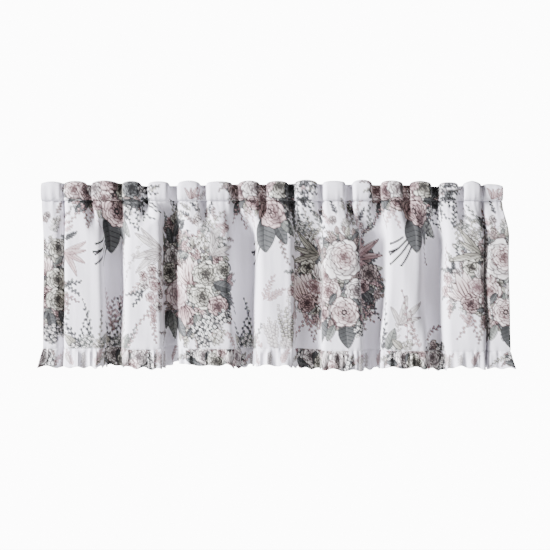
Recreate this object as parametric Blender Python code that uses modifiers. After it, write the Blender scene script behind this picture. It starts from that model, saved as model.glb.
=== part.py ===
"""Window valance: a gathered rod pocket, a panel in soft folds below it and a gathered ruffle.

Metres, +Z up. The front of the cloth faces -Y and +X is the viewer's right. The origin is the
middle of the rod pocket. Every part is one layer of cloth that follows a back-and-forth path
seen from above, and u is the distance along the flat cloth, from its left edge to its right.
"""

import math
from collections import namedtuple

import bpy
import numpy as np

# Cut sizes of the cloth
FLAT_WIDTH = 1.524
CLOTH = 0.0012
GAP = 0.00045  # the edges tilt by up to 0.15 mm, so they stay 0.3 mm apart

# Rod pocket: half its height, half its depth front to back, how square its section is
POCKET_HALF_HEIGHT = 0.0235
POCKET_HALF_DEPTH = 0.016
POCKET_SQUARENESS = 2.6
# Its section from the front round over the top, and how much of the gathers' path each line of
# it follows: the back lies flatter against the rod, and the bottom meets the panel
POCKET_FOLLOWS = (1, 1, 0.7, 0.4, 0.35, 0.5, 1, 1)
POCKET_FACE = 0.015  # how far forward the path of a gather stands
POCKET_CORNER = 0.0045
POCKET_SLOPE = 0.003  # the most that the side of a gather runs, out of a quarter of the dip
POCKET_SPACING = 0.005  # least cloth from one column of points to the next

# Panel: its path opens from the gathers to the folds over this height, then widens to the hem
PANEL_FACE = 0.020
PANEL_CORNER = 0.013
PANEL_SPACING = 0.006
PANEL_ROWS = (-0.045, -0.070, -0.100, -0.135, -0.235)
FOLDS_OPEN_BY = -0.120
WIDENS_FROM = -0.200
WIDENS_TO = -0.360
HEM_BLEND = 12  # mm inside a face's edges, where its hem leaves its own height
FACE_BULGE = 0.025  # of a face's width

# Folded path: the range a valley's depth is searched in, how often that is halved, how far the
# last edge turns back, and the points on each rounded corner
VALLEY_RANGE = (0.0005, 0.080)
HALVINGS = 30
END_TURN = 0.003
CORNER_STEPS = 2

# Ruffle: its height, and the waves it is gathered into
RUFFLE_DROP = 0.0395
RUFFLE_WAVE = 0.034
RUFFLE_DEPTH = 0.0052
RUFFLE_OPENS = 0.7  # the power of the way down at which the waves grow
RUFFLE_FLARE = 0.012
FLARE_REACH = 0.020
RUFFLE_ROWS = (0.45, 1.0)

# Slow swings that make the ruffle's waves uneven: length in metres, size in waves, and phase
Swing = namedtuple("Swing", "length size phase")
PHASE_SWINGS = (Swing(0.23, 0.32, 0), Swing(0.61, 0.25, 1))
SIZE_SWING = Swing(0.157, 0.2, 2)

# Gathers of the pocket, in mm from the middle: the left and right of each face, how far it stands
# forward of the others, the height of its top, and how far the top sinks in the dip to its right
Gather = namedtuple("Gather", "left right forward crown sink")
GATHERS = [
    Gather(-538, -492, -3, -2, 0),
    Gather(-484, -437, 2, -1, 6),
    Gather(-420, -364, 3, 0, 1),
    Gather(-350, -310, 0, -1, 9),
    Gather(-290, -244, 2, -2, 9),
    Gather(-222, -173, 0, 0, 7),
    Gather(-155, -99, 3, -2, 4),
    Gather(-81, -35, 0, 0, 5),
    Gather(-15, 30, 2, -1, 4),
    Gather(50, 99, 1, 2, 5),
    Gather(115, 164, 3, -1, 7),
    Gather(183, 226, 0, 2, 9),
    Gather(250, 297, 2, 0, 7),
    Gather(317, 363, 2, -1, 9),
    Gather(384, 425, 0, -4, 8),
    Gather(441, 478, 1, -1, 3),
    Gather(486, 529, -8, -8, 0),
]

# Folds of the panel, in mm: the left and right of each face at mid height and at the hem, the run
# of the slope on either side of it, how far it stands forward, and the height of the hem there
Fold = namedtuple("Fold", "left right hem_left hem_right slope_left slope_right forward hem")
FOLDS = [
    Fold(-534, -500, -535, -502, 0, 10, -6, -366),
    Fold(-484, -397, -486, -394, 1, 3, 0, -366),
    Fold(-340, -259, -346, -257, 16, 1, 2, -368),
    Fold(-206, -104, -208, -95, 33, 18, 0, -367),
    Fold(-35, 45, -39, 48, 14, 3, 1, -366),
    Fold(115, 199, 111, 206, 2, 2, 4, -371),
    Fold(263, 341, 249, 353, 2, 14, 2, -371),
    Fold(401, 487, 402, 491, 14, 1, 0, -373),
    Fold(505, 545, 508, 548, 14, 1, -7, -373),
]
# How much higher the hem hangs in the valley to the right of each fold but the last, in mm
VALLEY_LIFT = [0, 3, 8, -2, 0, 1, 0, 0]

Path = namedtuple("Path", "u x y")


def rounded(points, cut, steps):
    """The line through these points with each corner cut back and rounded, and the place of
    each corner's middle in it."""
    line, middles = [points[0]], []
    for before, corner, after in zip(points, points[1:], points[2:]):
        into, out = before - corner, after - corner
        reach_in = min(cut, 0.45 * np.linalg.norm(into)) / np.linalg.norm(into)
        reach_out = min(cut, 0.45 * np.linalg.norm(out)) / np.linalg.norm(out)
        start, end = corner + into * reach_in, corner + out * reach_out
        middles.append(len(line) + steps // 2)
        for t in np.linspace(0, 1, steps + 1):
            line.append((1 - t) ** 2 * start + 2 * t * (1 - t) * corner + t**2 * end)
    line.append(points[-1])
    return np.array(line), middles


def lengths(line):
    """The distance along the line at each of its points."""
    return np.concatenate([[0], np.cumsum(np.linalg.norm(np.diff(line, axis=0), axis=1))])


def corners_of(faces, depths):
    """The corner points of a row of faces, each (left, right, slope left, slope right, y), with
    a valley of this depth between each two."""
    points = []
    for k, (left, right, slope_left, slope_right, y) in enumerate(faces):
        if k:
            floor = max(y, faces[k - 1][4]) + depths[k - 1]
            points.append((left - slope_left, floor))
        points.append((left, y))
        if k + 1 < len(faces):
            points.append(((left + right) / 2, y - FACE_BULGE * (right - left)))
            points.append((right, y))
            floor = max(y, faces[k + 1][4]) + depths[k]
            points.append((right + slope_right, floor))
        else:
            points.append((right, y))
    return [np.array(p) for p in points]


def folded_path(faces, lefts, cut):
    """The cloth's path seen from above. The cloth is shared out by these left edges of the
    faces, and each valley is as deep as it takes to hold the cloth from one to the next."""
    last_right, y_last = faces[-1][1], faces[-1][4]
    last_face = (FOLDS[-1].right - FOLDS[-1].left) / 1000
    fullness = (FLAT_WIDTH - last_face) / (lefts[-1] - lefts[0])
    cloth = [fullness * (left - lefts[0]) for left in lefts]
    depths = []
    for here, following, span in zip(faces, faces[1:], np.diff(cloth)):
        shallow, deep = VALLEY_RANGE
        for _ in range(HALVINGS):
            depth = (shallow + deep) / 2
            line, _ = rounded(corners_of((here, following), [depth])[:-1], cut, CORNER_STEPS)
            if lengths(line)[-1] < span:
                shallow = depth
            else:
                deep = depth
        depths.append(depth)
    points = corners_of(faces, depths)
    points.append(np.array((last_right + END_TURN / 3, y_last + END_TURN)))
    line, middles = rounded(points, cut, CORNER_STEPS)
    walked = lengths(line)
    # A face has five corners, so the left corner of the next is the fifth after its own
    marks = [0.0] + [walked[middles[5 * k - 1]] for k in range(1, len(faces))] + [walked[-1]]
    u = np.interp(walked, marks, cloth + [FLAT_WIDTH])
    return Path(u, line[:, 0], line[:, 1])


def pocket_path():
    dips = [(right.left - left.right) / 1000 for left, right in zip(GATHERS, GATHERS[1:])]
    slopes = [min(POCKET_SLOPE, dip / 4) for dip in dips]
    faces = []
    for gather, before, after in zip(GATHERS, [0, *slopes], [*slopes, 0]):
        y = -POCKET_FACE - gather.forward / 1000
        faces.append((gather.left / 1000, gather.right / 1000, before, after, y))
    return folded_path(faces, [face[0] for face in faces], POCKET_CORNER)


def panel_path(at_hem):
    faces = []
    for fold in FOLDS:
        left, right = (fold.hem_left, fold.hem_right) if at_hem else (fold.left, fold.right)
        sides = (fold.slope_left / 1000, fold.slope_right / 1000)
        faces.append((left / 1000, right / 1000, *sides, -PANEL_FACE - fold.forward / 1000))
    return folded_path(faces, [fold.left / 1000 for fold in FOLDS], PANEL_CORNER)


def along(path, u):
    """The path's x and y at the cloth distance u."""
    return np.interp(u, path.u, path.x), np.interp(u, path.u, path.y)


def thinned(u, spacing):
    """These places in order, each at least this far from the one before, and the last one."""
    kept = [0.0]
    for place in np.sort(u):
        if place - kept[-1] >= spacing and FLAT_WIDTH - place >= spacing:
            kept.append(place)
    return np.array(kept + [FLAT_WIDTH])


def smooth(value, low, high):
    """From 0 at the low value to 1 at the high one, level at both ends."""
    t = np.clip((value - low) / (high - low), 0, 1)
    return t * t * (3 - 2 * t)


def panel_at(paths, u, z):
    """The panel's x and y at the cloth distance u and the height z."""
    pocket, middle, hem = (along(path, u) for path in paths)
    opened = smooth(-z, POCKET_HALF_HEIGHT, -FOLDS_OPEN_BY)
    widened = smooth(-z, -WIDENS_FROM, -WIDENS_TO)
    x = pocket[0] + (middle[0] - pocket[0]) * opened + (hem[0] - middle[0]) * widened
    y = pocket[1] + (middle[1] - pocket[1]) * opened + (hem[1] - middle[1]) * widened
    return x, y


def hem_height(u, hem_path):
    """The height of the panel's lower edge, which is a little higher in some valleys."""
    x, _ = along(hem_path, u)
    marks, heights = [], []
    for k, fold in enumerate(FOLDS):
        marks += [fold.hem_left + HEM_BLEND, fold.hem_right - HEM_BLEND]
        heights += [fold.hem, fold.hem]
        if k < len(VALLEY_LIFT):
            marks.append((fold.hem_right + FOLDS[k + 1].hem_left) / 2)
            heights.append((fold.hem + FOLDS[k + 1].hem) / 2 + VALLEY_LIFT[k])
    return np.interp(x, np.array(marks) / 1000, np.array(heights) / 1000)


def gather_wave(u):
    """The ruffle's uneven waves along the cloth, from -1 to 1."""
    turn = 2 * math.pi
    phase = u / RUFFLE_WAVE
    for swing in PHASE_SWINGS:
        phase = phase + swing.size * np.sin(turn * u / swing.length + swing.phase)
    swung = np.sin(turn * u / SIZE_SWING.length + SIZE_SWING.phase)
    size = 1 - SIZE_SWING.size + SIZE_SWING.size * swung
    return size * np.sin(turn * phase)


def sheet(name, grid, around):
    """One layer of cloth over a grid of points, with its thickness equally on both sides."""
    rows, columns, _ = grid.shape
    faces = []
    for i in range(rows if around else rows - 1):
        below = (i + 1) % rows
        for j in range(columns - 1):
            corner = i * columns + j
            faces.append((corner, corner + 1, below * columns + j + 1, below * columns + j))
    mesh = bpy.data.meshes.new(name)
    mesh.from_pydata(grid.reshape(-1, 3).tolist(), [], faces)
    mesh.validate()
    mesh.update()
    mesh.shade_smooth()
    obj = bpy.data.objects.new(name, mesh)
    thicken = obj.modifiers.new("cloth thickness", "SOLIDIFY")
    thicken.thickness = CLOTH
    thicken.offset = 0
    return obj


def pocket_object():
    """The pocket is a flat oval tube that follows the gathers, sunk at the top in the dips."""
    path = pocket_path()
    x, y = along(path, thinned(path.u, POCKET_SPACING))
    centres = [(g.left + g.right) / 2000 for g in GATHERS]
    crown = np.interp(x, centres, [g.crown / 1000 for g in GATHERS])
    dips = [(a.right + b.left) / 2000 for a, b in zip(GATHERS, GATHERS[1:])]
    sink = np.interp(x, dips, [g.sink / 1000 for g in GATHERS[:-1]])
    face = np.interp(x, centres, [-POCKET_FACE - g.forward / 1000 for g in GATHERS])
    recess = np.clip((y - face) / POCKET_FACE, 0, 1)
    rings = []
    for k, follows in enumerate(POCKET_FOLLOWS):
        angle = 2 * math.pi * k / len(POCKET_FOLLOWS)
        power = 2 / POCKET_SQUARENESS
        across = math.copysign(abs(math.cos(angle)) ** power, math.cos(angle))
        up = math.copysign(abs(math.sin(angle)) ** power, math.sin(angle))
        height = np.full_like(x, POCKET_HALF_HEIGHT)
        if up > 0:
            height += crown - sink * recess
        ring_y = y * follows - POCKET_HALF_DEPTH * across
        rings.append(np.stack([x, ring_y, height * up], axis=1))
    return sheet("rod_pocket", np.array(rings), around=True)


def panel_columns(paths):
    """The cloth distances of the columns of points that the panel and the ruffle share."""
    return thinned(np.concatenate([path.u for path in paths]), PANEL_SPACING)


def panel_object(paths):
    """The panel hangs from the pocket's underside to the ruffle's seam."""
    u = panel_columns(paths)
    hem = hem_height(u, paths[2])
    top = -POCKET_HALF_HEIGHT - CLOTH / 2 - GAP
    rows = []
    for z in (top, *PANEL_ROWS, None):
        height = hem if z is None else np.full_like(u, z)
        rows.append(np.stack([*panel_at(paths, u, height), height], axis=1))
    return sheet("panel", np.array(rows), around=False)


def ruffle_object(paths):
    """The ruffle starts on the panel's lower edge, and its waves open downwards."""
    u = panel_columns(paths)
    top = hem_height(u, paths[2]) - GAP
    x, y = panel_at(paths, u, top)
    tangent = np.gradient(np.stack([x, y], axis=1), axis=0)
    tangent /= np.linalg.norm(tangent, axis=1, keepdims=True)
    ends = np.exp(-u / FLARE_REACH) - np.exp(-(FLAT_WIDTH - u) / FLARE_REACH)
    rows = [np.stack([x, y, top], axis=1)]
    for down in RUFFLE_ROWS:
        wave = RUFFLE_DEPTH * gather_wave(u) * down**RUFFLE_OPENS
        out_x = x + tangent[:, 1] * wave - RUFFLE_FLARE * ends * down
        out_y = y - tangent[:, 0] * wave
        rows.append(np.stack([out_x, out_y, top - RUFFLE_DROP * down], axis=1))
    return sheet("ruffle", np.array(rows), around=False)


def cloth_material(name, colour):
    material = bpy.data.materials.new(name)
    material.use_nodes = True
    shader = material.node_tree.nodes["Principled BSDF"]
    shader.inputs["Base Color"].default_value = (*colour, 1)
    shader.inputs["Roughness"].default_value = 0.85
    shader.inputs["Metallic"].default_value = 0
    return material


def main():
    for obj in list(bpy.data.objects):
        bpy.data.objects.remove(obj)
    collection = bpy.data.collections.new("window valance")
    bpy.context.scene.collection.children.link(collection)
    paths = (pocket_path(), panel_path(False), panel_path(True))
    parts = [
        (pocket_object(), (0.74, 0.72, 0.76)),
        (panel_object(paths), (0.72, 0.70, 0.74)),
        (ruffle_object(paths), (0.70, 0.68, 0.71)),
    ]
    for obj, colour in parts:
        obj.data.materials.append(cloth_material(obj.name, colour))
        collection.objects.link(obj)


main()
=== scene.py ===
"""Looks of the window valance: printed cloth in uneven folds, its gathered rod pocket and ruffle,
and the stitches. Metres, in the frame of the CAD part: +Z up, the front faces -Y and the origin
is the middle of the rod pocket. u is the distance along the flat cloth, from its left edge.
"""

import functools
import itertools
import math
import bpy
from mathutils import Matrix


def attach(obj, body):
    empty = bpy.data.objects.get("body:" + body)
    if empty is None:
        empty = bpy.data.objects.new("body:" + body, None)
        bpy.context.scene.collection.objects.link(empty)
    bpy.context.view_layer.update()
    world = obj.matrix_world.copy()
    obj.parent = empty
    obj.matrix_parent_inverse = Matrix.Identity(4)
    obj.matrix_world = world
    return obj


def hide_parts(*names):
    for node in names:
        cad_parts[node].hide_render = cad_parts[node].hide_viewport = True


bl_info = {
    "name": "Window valance",
    "version": (1, 0, 0),
    "blender": (4, 5, 0),
    "location": "3D View > Sidebar > Valance",
    "description": "Builds a printed window valance around its CAD frame",
    "category": "Object",
}

from collections import namedtuple

import bpy
import numpy as np
from mathutils import Vector

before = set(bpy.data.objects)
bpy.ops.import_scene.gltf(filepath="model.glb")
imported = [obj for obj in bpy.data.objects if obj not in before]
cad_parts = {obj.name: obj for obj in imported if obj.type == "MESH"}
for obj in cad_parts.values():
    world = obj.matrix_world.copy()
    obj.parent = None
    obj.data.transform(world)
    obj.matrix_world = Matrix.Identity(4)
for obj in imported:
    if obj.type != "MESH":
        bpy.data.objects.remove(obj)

MM = 1000  # in a metre
ROUND = 2 * math.pi

# Cut sizes of the cloth
FLAT_WIDTH = 1.524
RUFFLE_FULLNESS = 1.4

# Rod pocket, as in the part but with a softer section and corners
POCKET_HALF_HEIGHT = 0.0235
POCKET_HALF_DEPTH = 0.013
POCKET_SQUARENESS = (2.1, 2.5)  # of the section below and above its middle
POCKET_FOLLOWS = (1, 1, 0.7, 0.4, 0.35, 0.5, 1, 1)
POCKET_FACE = 0.015
POCKET_CORNER = 0.0105
POCKET_ARCH = 0.0042  # how far the top of a gather falls from its middle to its sides
POCKET_SLOPE = 0.003
POCKET_SINKS = 0.7  # how much of the part's sinks between the gathers shows in the cloth

# Panel, as in the part
PANEL_FACE = 0.020
PANEL_CORNER = 0.013
# How far below the rod the folds have opened, at places along the cloth, in metres
Opening = namedtuple("Opening", "u by")
OPENINGS = (
    Opening(0.30, 0.115),
    Opening(0.37, 0.050),
    Opening(0.45, 0.050),
    Opening(0.53, 0.110),
)
WIDENS_FROM = -0.200
WIDENS_TO = -0.360
HEM_BLEND = 12
FACE_BULGE = 0.025
SEAM = -0.0239  # the height of the row of stitches under the pocket

# Folded path
VALLEY_RANGE = (0.0005, 0.080)
HALVINGS = 30
END_TURN = 0.003
CORNER_STEPS = 10
CORNER_SHARE = 0.45  # of the shorter side, which the rounding of a corner may take

# Ruffle, a little longer and shallower than in the part
RUFFLE_DROP = 0.0412
RUFFLE_WAVE = 0.034
RUFFLE_DEPTH = 0.0040
RUFFLE_OPENS = 0.7
RUFFLE_FLARE = 0.012
FLARE_REACH = 0.020
HEM_TURN = 0.006  # how much of the ruffle's edge is turned up behind it
HEM_LAYER = 0.0009

# Slow swings along the cloth: of the phase and the size of the ruffle's waves and sharper folds
Swing = namedtuple("Swing", "length size phase")
PHASE_SWINGS = (Swing(0.23, 0.32, 0), Swing(0.61, 0.25, 1))
SIZE_SWING = Swing(0.157, 0.2, 2)
FOLD_SWINGS = (Swing(0.173, 0.9, 0), Swing(0.067, 0.5, 0))
FOLD_SIZE_SWING = Swing(0.119, 0.45, 1)
# Small ripples beside the stitches: length and depth in metres, phase, and how far they reach
Ripple = namedtuple("Ripple", "length depth phase reach")
PUCKERS = (
    Ripple(0.0230, 0.0011, 0.4, 0.030),
    Ripple(0.0143, 0.0008, 2.1, 0.018),
    Ripple(0.0091, 0.0004, 4.0, 0.010),
)
GATHERS_AT_SEAM = (Ripple(0.0190, 0.0006, 1.3, 0.008), Ripple(0.0117, 0.0004, 0.2, 0.005))
SEAM_GROOVE = 0.0016
GROOVE_REACH = 0.0024
# Long soft undulations of the hanging cloth: lengths across and down, depth, phase
SWAYS_FROM = 0.06  # how far below the seam they are full
SWAYS_TO = 0.05  # how far above the hem they still are
Sway = namedtuple("Sway", "across down depth phase")
SWAYS = (
    Sway(0.094, 0.41, 0.0009, 0.3),
    Sway(0.057, 0.23, 0.0005, 2.6),
    Sway(0.171, 0.19, 0.0007, 4.4),
    Sway(0.023, 1.90, 0.00010, 1.0),
    Sway(0.0137, 2.7, 0.00005, 2.0),
)

# Gathers of the pocket and folds of the panel, in mm, as in the part but for the left edge of
# the last fold, which leans over its neighbour
Gather = namedtuple("Gather", "left right forward crown sink")
GATHERS = [
    Gather(-538, -492, -3, -2, 0),
    Gather(-484, -437, 2, -1, 6),
    Gather(-420, -364, 3, 0, 1),
    Gather(-350, -310, 0, -1, 9),
    Gather(-290, -244, 2, -2, 9),
    Gather(-222, -173, 0, 0, 7),
    Gather(-155, -99, 3, -2, 4),
    Gather(-81, -35, 0, 0, 5),
    Gather(-15, 30, 2, -1, 4),
    Gather(50, 99, 1, 2, 5),
    Gather(115, 164, 3, -1, 7),
    Gather(183, 226, 0, 2, 9),
    Gather(250, 297, 2, 0, 7),
    Gather(317, 363, 2, -1, 9),
    Gather(384, 425, 0, -4, 8),
    Gather(441, 478, 1, -1, 3),
    Gather(486, 529, -8, -8, 0),
]
Fold = namedtuple("Fold", "left right hem_left hem_right slope_left slope_right forward hem")
FOLDS = [
    Fold(-534, -500, -535, -502, 0, 10, -6, -366),
    Fold(-484, -397, -486, -394, 1, 3, 0, -366),
    Fold(-340, -259, -346, -257, 16, 1, 2, -368),
    Fold(-206, -104, -208, -95, 33, 18, 0, -367),
    Fold(-35, 45, -39, 48, 14, 3, 1, -366),
    Fold(115, 199, 111, 206, 2, 2, 4, -371),
    Fold(263, 341, 249, 353, 2, 14, 2, -371),
    Fold(401, 487, 402, 491, 14, 1, 0, -373),
    Fold(493, 545, 496, 548, 2, 1, -7, -373),
]
VALLEY_LIFT = [0, 3, 8, -2, 0, 1, 0, 0]

Path = namedtuple("Path", "u x y")


def rounded(points, cut, steps):
    """The line through these points with each corner cut back and rounded, and the place of
    each corner's middle in it."""
    line, middles = [points[0]], []
    for before, corner, after in zip(points, points[1:], points[2:]):
        into, out = before - corner, after - corner
        reach_in = min(cut, CORNER_SHARE * np.linalg.norm(into)) / np.linalg.norm(into)
        reach_out = min(cut, CORNER_SHARE * np.linalg.norm(out)) / np.linalg.norm(out)
        start, end = corner + into * reach_in, corner + out * reach_out
        middles.append(len(line) + steps // 2)
        for t in np.linspace(0, 1, steps + 1):
            line.append((1 - t) ** 2 * start + 2 * t * (1 - t) * corner + t**2 * end)
    line.append(points[-1])
    return np.array(line), middles


def lengths(line):
    """The distance along the line at each of its points."""
    return np.concatenate([[0], np.cumsum(np.linalg.norm(np.diff(line, axis=0), axis=1))])


def corners_of(faces, depths):
    """The corner points of a row of faces, each (left, right, slope left, slope right, y), with
    a valley of this depth between each two."""
    points = []
    for k, (left, right, slope_left, slope_right, y) in enumerate(faces):
        if k:
            floor = max(y, faces[k - 1][4]) + depths[k - 1]
            points.append((left - slope_left, floor))
        points.append((left, y))
        if k + 1 < len(faces):
            points.append(((left + right) / 2, y - FACE_BULGE * (right - left)))
            points.append((right, y))
            floor = max(y, faces[k + 1][4]) + depths[k]
            points.append((right + slope_right, floor))
        else:
            points.append((right, y))
    return [np.array(p) for p in points]


def folded_path(faces, lefts, cut):
    """The cloth's path seen from above. The cloth is shared out by these left edges of the
    faces, and each valley is as deep as it takes to hold the cloth from one to the next."""
    last_right, y_last = faces[-1][1], faces[-1][4]
    last_face = (FOLDS[-1].right - FOLDS[-1].left) / MM
    fullness = (FLAT_WIDTH - last_face) / (lefts[-1] - lefts[0])
    cloth = [fullness * (left - lefts[0]) for left in lefts]
    depths = []
    for here, following, span in zip(faces, faces[1:], np.diff(cloth)):
        shallow, deep = VALLEY_RANGE
        for _ in range(HALVINGS):
            depth = (shallow + deep) / 2
            line, _ = rounded(corners_of((here, following), [depth])[:-1], cut, CORNER_STEPS)
            if lengths(line)[-1] < span:
                shallow = depth
            else:
                deep = depth
        depths.append(depth)
    points = corners_of(faces, depths)
    points.append(np.array((last_right + END_TURN / 3, y_last + END_TURN)))
    line, middles = rounded(points, cut, CORNER_STEPS)
    walked = lengths(line)
    # A face has five corners, so the left corner of the next is the fifth after its own
    marks = [0.0] + [walked[middles[5 * k - 1]] for k in range(1, len(faces))] + [walked[-1]]
    u = np.interp(walked, marks, cloth + [FLAT_WIDTH])
    return Path(u, line[:, 0], line[:, 1])


def pocket_path():
    dips = [(right.left - left.right) / MM for left, right in zip(GATHERS, GATHERS[1:])]
    slopes = [min(POCKET_SLOPE, dip / 4) for dip in dips]
    faces = []
    for gather, before, after in zip(GATHERS, [0, *slopes], [*slopes, 0]):
        y = -POCKET_FACE - gather.forward / MM
        faces.append((gather.left / MM, gather.right / MM, before, after, y))
    return folded_path(faces, [face[0] for face in faces], POCKET_CORNER)


def panel_path(at_hem):
    faces = []
    for fold in FOLDS:
        left, right = (fold.hem_left, fold.hem_right) if at_hem else (fold.left, fold.right)
        sides = (fold.slope_left / MM, fold.slope_right / MM)
        faces.append((left / MM, right / MM, *sides, -PANEL_FACE - fold.forward / MM))
    return folded_path(faces, [fold.left / MM for fold in FOLDS], PANEL_CORNER)


PATHS = (pocket_path(), panel_path(False), panel_path(True))


def along(path, u):
    """The path's x and y at the cloth distance u."""
    return np.interp(u, path.u, path.x), np.interp(u, path.u, path.y)


def smooth(value, low, high):
    """From 0 at the low value to 1 at the high one, level at both ends."""
    t = np.clip((value - low) / (high - low), 0, 1)
    return t * t * (3 - 2 * t)


def panel_at(u, z):
    """The panel's x and y at the cloth distance u and the height z."""
    pocket, middle, hem = (along(path, u) for path in PATHS)
    open_by = np.interp(u, [place.u for place in OPENINGS], [place.by for place in OPENINGS])
    opened = smooth(-z, POCKET_HALF_HEIGHT, open_by)
    widened = smooth(-z, -WIDENS_FROM, -WIDENS_TO)
    x = pocket[0] + (middle[0] - pocket[0]) * opened + (hem[0] - middle[0]) * widened
    y = pocket[1] + (middle[1] - pocket[1]) * opened + (hem[1] - middle[1]) * widened
    return x, y


def hem_height(u):
    """The height of the panel's lower edge, which is a little higher in some valleys."""
    x, _ = along(PATHS[2], u)
    marks, heights = [], []
    for k, fold in enumerate(FOLDS):
        marks += [fold.hem_left + HEM_BLEND, fold.hem_right - HEM_BLEND]
        heights += [fold.hem, fold.hem]
        if k < len(VALLEY_LIFT):
            marks.append((fold.hem_right + FOLDS[k + 1].hem_left) / 2)
            heights.append((fold.hem + FOLDS[k + 1].hem) / 2 + VALLEY_LIFT[k])
    return np.interp(x, np.array(marks) / MM, np.array(heights) / MM)


def swung(start, u, *swings):
    """The starting value with these swings added at the cloth distance u."""
    return sum((s.size * np.sin(ROUND * u / s.length + s.phase) for s in swings), start)


def gather_wave(u):
    """The ruffle's uneven waves along the cloth, from -1 to 1."""
    size = swung(1 - SIZE_SWING.size, u, SIZE_SWING)
    return size * np.sin(ROUND * swung(u / RUFFLE_WAVE, u, *PHASE_SWINGS))


def ripples(table, u, away):
    """How far the cloth stands out at this distance from a row of stitches."""
    total = np.zeros(np.broadcast(u, away).shape)
    for k, ripple in enumerate(table):
        uneven = 1.1 * np.sin(ROUND * u / (ripple.length * 6.7) + k) + ripple.phase
        size = 0.65 + 0.35 * np.sin(ROUND * u / (ripple.length * 4.3) + 2 * k)
        wave = size * np.sin(ROUND * u / ripple.length + uneven)
        total = total + ripple.depth * wave * np.exp(-away / ripple.reach)
    return total


def groove(away):
    """How far a seam draws the cloth in at this distance from it."""
    return SEAM_GROOVE * np.exp(-away / GROOVE_REACH)


def swayed(u, z):
    """The long soft undulations of the hanging cloth."""
    total = 0
    for sway in SWAYS:
        angle = ROUND * (u / sway.across + z / sway.down) + sway.phase
        total = total + sway.depth * np.sin(angle)
    return total


def outward(x, y):
    """The direction out of the front of the cloth, seen from above, along each row."""
    tangent = np.stack([np.gradient(x, axis=-1), np.gradient(y, axis=-1)])
    tangent /= np.linalg.norm(tangent, axis=0)
    return tangent[1], -tangent[0]


# The print. Colours are sRGB shares, each tone from light to deep.
TONES = {
    "ivory": ((0.93, 0.915, 0.915), (0.80, 0.775, 0.775), (0.40, 0.37, 0.375)),
    "blush": ((0.91, 0.875, 0.875), (0.80, 0.730, 0.730), (0.42, 0.35, 0.355)),
    "dusk": ((0.82, 0.755, 0.755), (0.63, 0.545, 0.550), (0.30, 0.24, 0.25)),
    "olive": ((0.86, 0.855, 0.830), (0.64, 0.630, 0.600), (0.27, 0.26, 0.25)),
    "taupe": ((0.79, 0.750, 0.742), (0.60, 0.552, 0.547), (0.29, 0.25, 0.25)),
    "sage": ((0.74, 0.745, 0.735), (0.53, 0.540, 0.530), (0.27, 0.28, 0.275)),
    "slate": ((0.56, 0.565, 0.570), (0.34, 0.345, 0.350), (0.13, 0.13, 0.135)),
    "faint": ((0.89, 0.880, 0.885), (0.80, 0.785, 0.785), (0.50, 0.47, 0.475)),
    "rosy": ((0.88, 0.840, 0.845), (0.78, 0.710, 0.715), (0.50, 0.42, 0.43)),
}
GROUND = (0.930, 0.920, 0.950)
INK = (0.15, 0.14, 0.145)
EDGE = 1.3  # mm over which the edge of a shape fades
FAR = 9.0  # mm, outside the edge of any shape
PRINT_STEP = 1.2  # mm between the points that the print is worked out on
PRINT_BOX = (-14, 1540, -385, 110)  # mm: u from and to, v from and to
GOLDEN_TURN = 2.39996
# Rings of a rose from the outside in: how far they reach, how many petals, how wide they are
ROSE_RINGS = (
    (1.00, 8, 0.86),
    (0.81, 7, 0.74),
    (0.62, 6, 0.60),
    (0.45, 5, 0.46),
    (0.29, 4, 0.32),
    (0.16, 3, 0.20),
)
# What fills a bouquet between its flowers: kind, tone, and its size as a share of the spacing
FILLERS = (
    ("leaf", "slate", 1.7),
    ("bloom", "olive", 0.62),
    ("leaf", "sage", 1.6),
    ("buds", "taupe", 1.8),
    ("leaf", "slate", 1.5),
    ("bloom", "dusk", 0.66),
    ("leaf", "taupe", 1.6),
    ("florets", "slate", 0.62),
    ("leaf", "olive", 1.6),
    ("bloom", "ivory", 0.60),
    ("buds", "dusk", 1.7),
)
LOOSE_FILLERS = (
    ("florets", "sage", 0.75),
    ("bloom", "ivory", 0.62),
    ("leaf", "olive", 1.3),
    ("florets", "olive", 0.7),
    ("buds", "slate", 1.6),
)


def mixed(a, b, share):
    share = np.asarray(share)[..., None]
    return np.asarray(a) * (1 - share) + np.asarray(b) * share


def toned(tone, share):
    """Colours from deep at 0 over middle to light at 1."""
    light, middle, deep = TONES[tone]
    low = mixed(deep, middle, np.clip(share / 0.4, 0, 1))
    return mixed(low, light, np.clip((share - 0.4) / 0.6, 0, 1))


def polar(length, turn):
    """The offset of this length in this direction, in degrees."""
    angle = math.radians(turn)
    return length * np.array((math.cos(angle), math.sin(angle)))


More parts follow.
